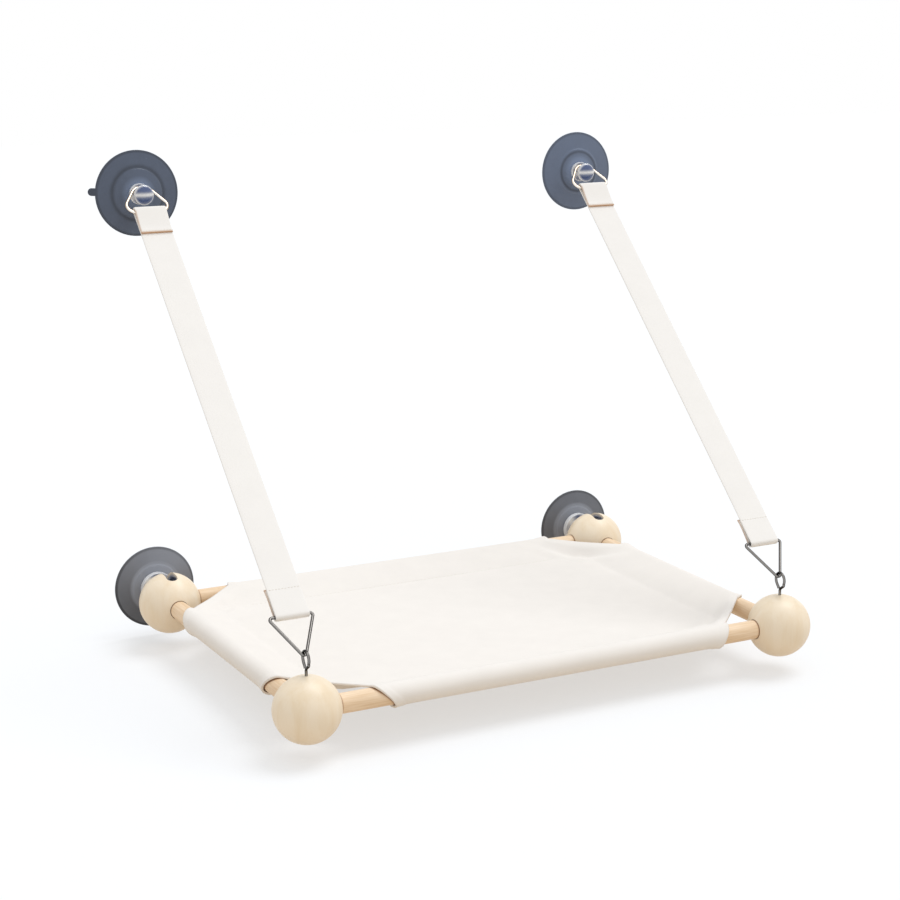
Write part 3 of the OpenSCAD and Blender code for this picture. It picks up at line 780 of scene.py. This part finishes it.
class HAMMOCK_OT_canvas(bpy.types.Operator):
    """Makes the canvas sling: a sagging panel with cut corners and a sewn sleeve round each dowel."""

    bl_idname = "hammock.canvas"
    bl_label = "Canvas sling"

    HEM_EDGE = 1.2 * MM  # Width over which the hem gets thicker
    HEM_LAYERS = 1.7  # Thickness of the hem beside the single cloth
    LEVELS = 8  # Steps of thickness that the hem's edge is drawn in
    STITCH, THREAD = 3.2 * MM, 0.4 * MM  # Length of a stitch and thickness of its thread

    def execute(self, context):
        cloth = context.scene.hammock_canvas
        sling = Sling(cloth)
        grids, plans, insets = zip(sling.panel(), *sling.sleeves())
        parts = [(grid.reshape(-1, 3) + BED, [quads(*grid.shape[:2])]) for grid in grids]
        plan = np.vstack([flat.reshape(-1, 2) for flat in plans])
        inset = np.concatenate([edge.ravel() for edge in insets])
        hem = np.clip((cloth.hem - inset) / self.HEM_EDGE, 0, 1)
        canvas = material("cotton_canvas", cotton_canvas, cloth.tint)
        made = piece("canvas_cloth", parts, canvas, plan, weld=2e-6, hem=hem)

        # Solidify gives the cloth its thickness, and the folded hem along the free edges more of it
        group = made.vertex_groups.new(name="hem")
        value = np.empty(len(made.data.vertices), np.float32)
        made.data.attributes["hem"].data.foreach_get("value", value)
        level = np.round(value * self.LEVELS) / self.LEVELS
        for weight in np.unique(level):
            group.add(np.flatnonzero(level == weight).tolist(), float(weight), "REPLACE")
        solid = made.modifiers.new("thickness", "SOLIDIFY")
        solid.thickness = self.HEM_LAYERS * cloth.thickness
        solid.offset = 0.0
        solid.use_even_offset = True
        solid.vertex_group = "hem"
        solid.thickness_vertex_group = 1 / self.HEM_LAYERS
        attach(made, "frame")
        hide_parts("canvas_sling")

        # A row of fine stitches closes each sleeve along its seam
        places, ways = sling.seams()
        upwards = np.tile([0.0, 0, 1], (len(ways), 1))
        thread = material("sewing_thread", sewing_thread, cloth.thread)
        sewn = stitches("canvas_stitches", places + BED, ways, upwards, thread, self.STITCH, self.THREAD)
        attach(sewn, "frame")
        return {"FINISHED"}


class Strap:
    """One strap, seen along its line from the hanger ring down to the triangle ring.

    A place in its path is its distance down from the upper loop's middle, and its distance behind the line
    that joins the middles of the two loops.
    """

    LAY = 0.98  # Distance from a tail's middle to the main layer's, in thicknesses
    CLOSING_R = 9 * MM  # Radius of the bend where a loop closes
    STEP = 3 * MM  # Longest side of the path
    FLATNESS, ROUNDNESS = 0.22, 0.55  # Powers that make the section's faces flat and its selvedges round
    SEAR_REACH = 0.8 * MM  # Distance from a cut end at which its brown has died down to a third
    # The brown at a cut end is partly heat seal and partly painted shade; along a tail's selvedge it is
    # painted shade
    CUT_SEAR, SELVEDGE_SEAR = 0.9, 0.5  # Strength of the brown at a cut end and along a tail's selvedge
    SELVEDGE = 0.47  # Share of the width, from the middle, where the selvedge starts
    SEAM_IN = 2 * MM  # Distance of the stitches from the end of their tail
    STITCH_FROM, STITCH_TO, STITCH_STEP = 2.5 * MM, 2 * MM, 2.9 * MM  # Room beside a row, and its step

    def __init__(self, web, side):
        bow, bar, eye = (joint_at(f"{side}_{n}_swing")[1:] for n in ("ring", "strap", "triangle"))
        self.web = web
        self.x = SIDES[side] * HALF_W + web.side
        self.down = (eye - bow) / np.linalg.norm(eye - bow)
        self.behind = np.array([-self.down[1], self.down[0]])
        self.top = bar - self.down * web.lift
        self.span = float(np.linalg.norm(eye - self.down * BAR_ABOVE_EYE - self.top))
        self.half = web.thickness / 2
        self.lay = web.thickness * self.LAY
        self.upper_r = web.upper_wire / 2 + web.gap + self.half
        self.lower_r = web.lower_wire / 2 + web.gap + self.half

    def main(self, d):
        """Distance of the main layer behind the line of the loops, d down from the upper one."""
        return self.upper_r - (self.upper_r + self.lower_r) * d / self.span

    def path(self):
        """Middle of the webbing: tail, upper loop, main layer, lower loop and tail again."""
        web, span = self.web, self.span
        t = np.linspace(0, np.pi, 25)
        over = np.stack([-self.upper_r * np.sin(t), -self.upper_r * np.cos(t)], -1)
        beneath = np.stack([span + self.lower_r * np.sin(t), -self.lower_r * np.cos(t)], -1)
        tail_up = [[d, self.main(d) - self.lay] for d in (web.tail, web.close)]
        tail_low = [[span - d, self.main(span - d) + self.lay] for d in (web.close, web.tail)]
        path = np.vstack([tail_up, over, beneath, tail_low])
        first, last = (soften(ends, self.CLOSING_R)[1:-1] for ends in (path[:3], path[-3:]))
        return spaced(np.vstack([path[:1], first, path[2:-2], last, path[-1:]]), self.STEP)

    def section(self):
        """Section of the webbing, as places across and through it: flat faces with round selvedges.

        Across is cos(q)^0.22 width / 2 and through is sin(q)^0.55 thickness / 2, both with their signs.
        """
        q = np.linspace(0, 2 * np.pi, 36, endpoint=False)
        across = np.sign(np.cos(q)) * np.abs(np.cos(q)) ** self.FLATNESS * self.web.width / 2
        return across, np.sign(np.sin(q)) * np.abs(np.sin(q)) ** self.ROUNDNESS * self.half

    def webbing(self):
        """Parts of the webbing, its UV map, the sear of its points and its whole length.

        The section is carried along the path; the lower tail drifts sideways by askew. The brown, partly
        heat seal and partly painted shade, is strongest at the cut ends, exp(-d / 0.8 mm), and runs as
        painted shade along the left selvedge of the tails.
        """
        web, path = self.web, self.path()
        across, through = self.section()
        run = travelled(path)
        way = unit(np.gradient(path, axis=0))
        face = np.stack([-way[:, 1], way[:, 0]], -1)
        chain = path[:, None, :] + face[:, None, :] * through[None, :, None]
        askew = -web.askew * np.clip((run - run[-1]) / web.tail + 1, 0, 1)
        x = self.x + across[None, :] + askew[:, None]
        yz = self.top + chain[..., :1] * self.down + chain[..., 1:] * self.behind
        points = np.concatenate([x[..., None], yz], -1).reshape(-1, 3)
        n, m = x.shape
        caps = np.stack([np.arange(m)[::-1], (n - 1) * m + np.arange(m)])
        uv = np.stack([np.broadcast_to(across, (n, m)), np.broadcast_to(run[:, None], (n, m))], -1)
        close = np.minimum(run, run[-1] - run)[:, None]
        # Painted shade along the left selvedge of both tails
        selvedge = (close < web.tail) * (across < -self.SELVEDGE * web.width)[None, :]
        sear = np.maximum(self.CUT_SEAR * np.exp(-close / self.SEAR_REACH), self.SELVEDGE_SEAR * selvedge)
        parts = [(points, [quads(n, m, closed=True), caps])]
        return parts, uv.reshape(-1, 2), sear.ravel(), float(run[-1])

    def seam(self, d, near):
        """Places and normals of the stitches across the strap at d down, on both faces.

        near is the side on which the tail lies: 1 behind the main layer, -1 in front of it.
        """
        width = self.web.width
        across = np.arange(-width / 2 + self.STITCH_FROM, width / 2 - self.STITCH_TO, self.STITCH_STEP)
        places, normals = [], []
        for face, outer in ((near, self.lay + self.half), (-near, self.half)):
            yz = self.top + self.down * d + self.behind * (self.main(d) + face * outer)
            places.append(np.column_stack([self.x + across, np.tile(yz, (len(across), 1))]))
            normals.append(np.tile([0.0, *(face * self.behind)], (len(across), 1)))
        return np.vstack(places), np.vstack(normals)


class HAMMOCK_OT_straps(bpy.types.Operator):
    """Makes the two webbing straps, each looped and sewn round the bars of its two rings."""

    bl_idname = "hammock.straps"
    bl_label = "Webbing straps"

    STITCH = 2.1 * MM  # Length of a stitch
    THREAD = {"upper": 0.35 * MM, "lower": 0.6 * MM}  # Thickness of the thread at the two ends

    def execute(self, context):
        web = context.scene.hammock_webbing
        cotton = material("cotton_webbing", cotton_webbing, web.tint, web.seared)
        thread = material("sewing_thread", sewing_thread, context.scene.hammock_canvas.thread)
        for side in SIDES:
            strap = Strap(web, side)
            parts, uv, sear, whole = strap.webbing()
            made = piece(f"webbing_strap_{side}", parts, cotton, uv, sear=sear)
            made.data.set_sharp_from_angle(angle=1.0)
            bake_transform(made)
            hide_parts(f"strap_{side}_upper", f"strap_{side}_lower")

            # A row of stitches holds each tail, seen on both faces
            seam_at = web.tail - strap.SEAM_IN
            for end, body, d, near in (("upper", "strap_top", seam_at, -1),
                                       ("lower", "strap_end", strap.span - seam_at, 1)):
                places, normals = strap.seam(d, near)
                sideways = np.tile([1.0, 0, 0], (len(places), 1))
                row = stitches(f"strap_stitches_{side}_{end}", places, sideways, normals, thread,
                               self.STITCH, self.THREAD[end])
                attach(row, f"{side}_{body}")
        return {"FINISHED"}


# In each look, paler gives a lighter side of painted highlight, and dark gives a rim of painted shade
# Angle of each disc's pull tab, and how the tone of its vinyl runs: see vinyl_tone. Angles are in degrees
VINYL = {
    "cup_upper_left": (176, dict(base=0.29, inner=0.04, edge=0.60, ring=-0.24, at=0.62, width=0.05,
                                 paler=0.02, towards=60, halo=0.45, dark=0.22)),
    "cup_upper_right": (-60, dict(base=0.56, inner=0.0, edge=0.47, ring=-0.42, at=0.505, width=0.035,
                                  paler=0.03, towards=90, halo=0.5, dark=0.28)),
    # For the lower discs, the base tone is raised as a painted reflection of the overhead light
    "cup_lower_left": (-40, dict(base=0.55, inner=0.42, edge=0.635, ring=-0.05, at=0.66, width=0.02,
                                 paler=0.30, towards=60, halo=0.0, dark=0.45)),
    "cup_lower_right": (-40, dict(base=0.39, inner=0.40, edge=0.665, ring=-0.05, at=0.69, width=0.02,
                                  paler=0.05, towards=60, halo=0.0, dark=0.3)),
}


def vinyl_tone(far, about, base, inner, edge, ring, at, width, paler, towards, halo, dark):
    """Tone of a disc's vinyl at a share of its radius and at an angle about its axis.

    It is base all over, more by inner inside edge, with a soft ring, exp(-((far - at) / width)^2), a
    lighter side of painted highlight, cos(about - towards), a halo that fades out at 0.42 and a dark rim of
    painted shade from 0.93 outwards.
    """
    inside = 1 / (1 + np.exp((far - edge) / 0.012))
    tone = base + inner * inside + ring * np.exp(-((far - at) / width) ** 2)
    tone = tone + paler * np.cos(about - np.radians(towards)) * np.minimum(1, 3 * far)
    return tone + halo * np.clip((0.42 - far) / 0.14, 0, 1) - dark * np.clip((far - 0.93) / 0.03, 0, 1)


def disc_body(disc):
    """Lathe form of a disc, without its tab: boss, step, thin rim, flat lip and the hollow behind."""
    outline = [[0, disc.boss_h], [disc.boss_r, disc.boss_h],
               [disc.step_r - disc.step_rise, disc.step_h + disc.step_rise], [disc.step_r, disc.step_h],
               [DISC_R, disc.rim], [DISC_R, 0], [DISC_R - disc.lip, 0],
               [disc.step_r, disc.hollow], [0, disc.hollow]]
    rounding = np.array([2, 1.6, 1.6, 0.7, 0.5, 4, 4]) * MM
    return lathe(spaced(soften(outline, rounding), 1.2 * MM), 120)


def pull_tab(disc, sides=40):
    """Pull tab on the x axis: a flat pebble whose rings shrink towards the middle of its two faces.

    Its outline is half a circle outside the rim and half a flat ellipse inside it, with straight sides.
    """
    t = np.linspace(0, 2 * np.pi, sides, endpoint=False)
    outer = np.cos(t) > 0
    start = np.where(outer, disc.tab_l - disc.tab_w / 2, -disc.lip / 2)
    reach = np.where(outer, disc.tab_w / 2, disc.lip / 4)
    outline = np.stack([start + np.cos(t) * reach, np.sin(t) * disc.tab_w / 2], -1)
    share = np.array([0.8, 0.94, 1, 1, 0.94])[:, None, None]
    lift = np.array([1, 0.93, 0.7, 0.3, 0.02]) * disc.rim
    core = np.array([disc.tab_l / 3, 0])
    plan = core + (outline - core) * share
    rings = np.concatenate([plan, np.broadcast_to(lift[:, None, None], (len(lift), sides, 1))], -1)
    points, faces = shell(rings, [*core, lift[0]], [*core, lift[-1]])
    return points + [DISC_R, 0, 0], faces


class HAMMOCK_OT_discs(bpy.types.Operator):
    """Makes the four suction discs: soft vinyl lathe forms, each with a pull tab on its rim."""

    bl_idname = "hammock.discs"
    bl_label = "Suction discs"

    def execute(self, context):
        disc = context.scene.hammock_disc
        upper = material("smoke_vinyl", grey_vinyl, disc.tint)
        # A lighter copy of the same vinyl for the lower discs, as painted reflection
        lower = material("grey_vinyl", grey_vinyl, disc.lower_tint)
        body, faces = disc_body(disc)
        tab, tab_faces = pull_tab(disc)
        for node, (angle, look) in VINYL.items():
            turn = np.radians(angle)
            far = np.concatenate([np.hypot(body[:, 0], body[:, 1]), np.full(len(tab), DISC_R)]) / DISC_R
            about = np.concatenate([np.arctan2(body[:, 1], body[:, 0]), np.full(len(tab), turn)])
            parts = [(on_glass(body, node), faces), (on_glass(turned(tab, turn), node), tab_faces)]
            made = piece(node.replace("cup", "disc"), parts, upper if "upper" in node else lower,
                         tone=vinyl_tone(far, about, **look))
            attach(made, "cups")
            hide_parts(node)
        return {"FINISHED"}


def peg_body(peg, boss, top, wide, thick):
    """Lathe form of a peg on a boss: a collar of radius wide, the neck, and a head domed up to top."""
    foot = boss - 0.3 * MM
    under = top - peg.head_t
    ball = (peg.head_r ** 2 + peg.dome ** 2) / (2 * peg.dome)
    rise = np.linspace(np.arcsin(peg.head_r / ball), 0, 14)
    cap = np.stack([ball * np.sin(rise), top - ball + ball * np.cos(rise)], -1)
    outline = [[0, foot], [wide, foot], [wide, boss + thick], [peg.neck_r, boss + thick],
               [peg.neck_r, under], [peg.head_r, under], cap[0], cap[1]]
    rounding = np.array([0.4, 0.8, 0.7, 0.7, 0.8, 0.7]) * MM
    side = soften(outline, rounding)
    return lathe(spaced(np.vstack([side[:-1], cap[1:]]), 1 * MM), 96)


def gleam(points, under, head_r, wide):
    """Painted highlight on a peg, 0 to 1: a band on its head, streaks round its collar, both rims; at 0 the
    disc behind is painted.

    The band is exp(-((y - 0.4 mm) / 1.9 mm)^2), the streaks are 0.4 - 0.45 cos a + 0.3 cos(5 a + 1), most
    at the left, and a rim is 1 - d / 1.6 mm, d being the distance in from it.
    """
    far, about = np.hypot(points[:, 0], points[:, 1]), np.arctan2(points[:, 1], points[:, 0])
    head = points[:, 2] > under - MM
    band = np.exp(-((points[:, 1] - 0.4 * MM) / (1.9 * MM)) ** 2)
    streaks = 0.4 - 0.45 * np.cos(about) + 0.3 * np.cos(5 * about + 1)
    rim = 1 - (np.where(head, head_r, wide) - far) / (1.6 * MM)
    return np.clip(np.maximum(np.where(head, band, streaks), rim), 0, 1)


class HAMMOCK_OT_pegs(bpy.types.Operator):
    """Makes the four clear pegs: lathe forms with a collar, a neck and a domed mushroom head."""

    bl_idname = "hammock.pegs"
    bl_label = "Clear pegs"

    def execute(self, context):
        peg = context.scene.hammock_peg
        plastic = material("clear_plastic", clear_plastic, peg.tint, peg.shade)
        collars = {"upper": (peg.collar_r, peg.collar_t), "lower": (peg.base_r, peg.base_t)}
        for level, (wide, thick) in collars.items():
            for side in SIDES:
                node = f"peg_{level}_{side}"
                top = -float(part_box(node)[0][Y])
                points, faces = peg_body(peg, context.scene.hammock_disc.boss_h, top, wide, thick)
                made = piece(f"clear_peg_{level}_{side}", [(on_glass(points, node), faces)], plastic,
                             gleam=gleam(points, top - peg.head_t, peg.head_r, wide))
                made.data.set_sharp_from_angle(angle=0.9)
                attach(made, "cups")
                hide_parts(node)
        return {"FINISHED"}


def finish_nodes(finish, *names):
    """Gives CAD nodes that keep their shape a material."""
    for name in names:
        mesh = frame["nodes"][name].data
        mesh.materials.clear()
        mesh.materials.append(finish)


class HAMMOCK_OT_woodwork(bpy.types.Operator):
    """Finishes the four balls and the four dowels."""

    bl_idname = "hammock.woodwork"
    bl_label = "Balls and dowels"

    def execute(self, context):
        tint, cloth = context.scene.hammock_finish, context.scene.hammock_canvas
        # The balls get the slot's painted shade, as the dowels get theirs
        maple = material("turned_maple", turned_wood, tint.ball, tint.slot, Z, **MAPLE)
        finish_nodes(maple, *[f"ball_{end}_{side}" for end in ("front", "rear") for side in SIDES])
        across = material("birch_across", turned_wood, tint.dowel, tint.stain, X, cloth=cloth, **BIRCH)
        finish_nodes(across, "dowel_front", "dowel_rear")
        along = material("birch_along", turned_wood, tint.dowel, tint.stain, Y, cloth=cloth, **BIRCH)
        finish_nodes(along, "dowel_left", "dowel_right")
        return {"FINISHED"}


def bent_eye(r, low):
    """Path of a screw eye in its own plane, round the middle of its loop.

    The stem rises from low and leans into a circle of radius r, whose end comes back beside the stem. Both
    joins are cubic curves.
    """
    turn = np.radians(np.linspace(208, -32, 49))
    loop = np.stack([r * np.cos(turn), r * np.sin(turn)], -1)
    stem = np.array([[0, low], [0, -2.1 * r], [0, -1.5 * r]])
    lean = bend(stem[2], stem[2] + [-0.1 * r, 0.45 * r], loop[0] - [0.2 * r, 0.4 * r], loop[0])
    tip = bend(loop[-1], loop[-1] - [0.2 * r, 0.4 * r], [0.35 * r, -1.05 * r], [0.28 * r, -1.34 * r])
    return np.vstack([stem, lean[1:], loop[1:], tip[1:]])


class HAMMOCK_OT_wires(bpy.types.Operator):
    """Finishes the hanger rings and the triangle rings, and makes the screw eyes."""

    bl_idname = "hammock.wires"
    bl_label = "Rings and screw eyes"

    def execute(self, context):
        tint = context.scene.hammock_finish
        nickel = material("nickel_plated_wire", drawn_wire, tint.nickel, tint.nickel_edge, 0.1)
        finish_nodes(nickel, *[f"hanger_ring_{side}" for side in SIDES])
        steel = material("bright_steel_wire", drawn_wire, tint.steel, tint.steel_edge, 0.07)
        finish_nodes(steel, *[f"triangle_ring_{side}" for side in SIDES])
        foot = float(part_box("screw_eye_left")[0][Z])
        for side in SIDES:
            eye = joint_at(f"{side}_triangle_swing")
            path = bent_eye(tint.eye_r, foot - eye[Z])
            path = eye + np.column_stack([0 * path[:, 0], path])
            made = piece(f"bent_eye_{side}", [wire(path, tint.eye_wire / 2)], steel)
            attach(made, "frame")
            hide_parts(f"screw_eye_{side}")
        return {"FINISHED"}


def camera_axes(turn, tilt, roll):
    """Right, up and ahead of a camera turned from +Y towards +X, tilted down and rolled, in radians."""
    ahead = np.array([np.sin(turn) * np.cos(tilt), np.cos(turn) * np.cos(tilt), -np.sin(tilt)])
    right = np.array([np.cos(turn), -np.sin(turn), 0])
    up = np.cross(right, ahead)
    return right * np.cos(roll) + up * np.sin(roll), up * np.cos(roll) - right * np.sin(roll), ahead


class HAMMOCK_OT_stage(bpy.types.Operator):
    """Sets the pale floor, the soft light from above and the camera."""

    bl_idname = "hammock.stage"
    bl_label = "Floor, light and camera"

    FLOOR_HALF = 6.0  # Half the floor's side, in metres
    SUN_SPREAD = 0.6  # How large the overhead light looks, in radians
    SUN_LEAN = (0.02, 0.42, 0)  # Its turn from straight down
    AIM = (0.505, 0.2504, 0.0017)  # The camera looks 28.9 degrees off square and 14.3 down, hardly rolled
    SHIFT = (-0.0924, 0.0552)  # Shift that puts the object where the photograph has it

    def execute(self, context):
        scene, stage = context.scene, context.scene.hammock_stage
        scene.view_settings.view_transform = "Standard"
        paper = material("pale_floor", pale_floor, stage.floor_tint, stage.bounce)
        corner = np.array([[-1, -1], [1, -1], [1, 1], [-1, 1]]) * self.FLOOR_HALF
        square = np.column_stack([corner, np.full(len(corner), stage.floor_z)])
        ground = piece("floor", [(square, [[[0, 1, 2, 3]]])], paper)

        # White all round for what the eye, metal and clear plastic see, softer for the light it gives
        scene.world = bpy.data.worlds.new("white_studio")
        scene.world.use_nodes = True
        tree = scene.world.node_tree
        tree.nodes.clear()
        level = add(tree, "MapRange", {"Value": plainly_seen(tree), "To Min": stage.sky,
                                       "To Max": 1.0})["Result"]
        white = add(tree, "Background", {"Color": (1, 1, 1, 1), "Strength": level})[0]
        add(tree, "OutputWorld", {"Surface": white})

        lamp = bpy.data.lights.new("overhead", "SUN")
        lamp.energy = stage.sun
        lamp.angle = self.SUN_SPREAD
        sun = bpy.data.objects.new("overhead", lamp)
        sun.rotation_euler = self.SUN_LEAN
        scene.collection.objects.link(sun)

        lens = bpy.data.cameras.new("camera")
        lens.lens = stage.lens
        lens.sensor_width = 36.0
        lens.shift_x, lens.shift_y = self.SHIFT
        lens.clip_end = 50.0
        right, up, ahead = camera_axes(*self.AIM)
        place = np.eye(4)
        place[:3, :4] = np.stack([right, up, -ahead, np.array(stage.eye)], -1)
        camera = bpy.data.objects.new("camera", lens)
        camera.matrix_world = Matrix(place.tolist())
        scene.collection.objects.link(camera)
        scene.camera = camera
        return {"FINISHED"}


class HAMMOCK_PT_panel(bpy.types.Panel):
    """Lists the hammock's pieces and their sizes in the sidebar."""

    bl_idname = "HAMMOCK_PT_panel"
    bl_label = "Window Hammock"
    bl_space_type = "VIEW_3D"
    bl_region_type = "UI"
    bl_category = "Hammock"

    def draw(self, context):
        for operator, group in PIECES:
            box = self.layout.box()
            box.operator(operator.bl_idname)
            values = getattr(context.scene, group)
            for name in values.bl_rna.properties.keys():
                if name not in ("rna_type", "name"):
                    box.prop(values, name)


GROUPS = {"hammock_canvas": CanvasProps, "hammock_webbing": WebbingProps, "hammock_disc": DiscProps,
          "hammock_peg": PegProps, "hammock_finish": FinishProps, "hammock_stage": StageProps}
PIECES = [(HAMMOCK_OT_stage, "hammock_stage"), (HAMMOCK_OT_canvas, "hammock_canvas"),
          (HAMMOCK_OT_straps, "hammock_webbing"), (HAMMOCK_OT_discs, "hammock_disc"),
          (HAMMOCK_OT_pegs, "hammock_peg"), (HAMMOCK_OT_woodwork, "hammock_finish"),
          (HAMMOCK_OT_wires, "hammock_finish")]


def register():
    """Registers the groups, the operators and the panel, and gives every scene the groups."""
    for group in GROUPS.values():
        bpy.utils.register_class(group)
    for name, group in GROUPS.items():
        setattr(bpy.types.Scene, name, PointerProperty(type=group))
    for operator, _ in PIECES:
        bpy.utils.register_class(operator)
    bpy.utils.register_class(HAMMOCK_PT_panel)


def unregister():
    """Undoes register."""
    bpy.utils.unregister_class(HAMMOCK_PT_panel)
    for operator, _ in reversed(PIECES):
        bpy.utils.unregister_class(operator)
    for name in GROUPS:
        delattr(bpy.types.Scene, name)
    for group in GROUPS.values():
        bpy.utils.unregister_class(group)


def main():
    """Makes every piece in turn."""
    register()
    bpy.ops.hammock.stage()
    bpy.ops.hammock.canvas()
    bpy.ops.hammock.straps()
    bpy.ops.hammock.discs()
    bpy.ops.hammock.pegs()
    bpy.ops.hammock.woodwork()
    bpy.ops.hammock.wires()


if __name__ == "__main__":
    main()
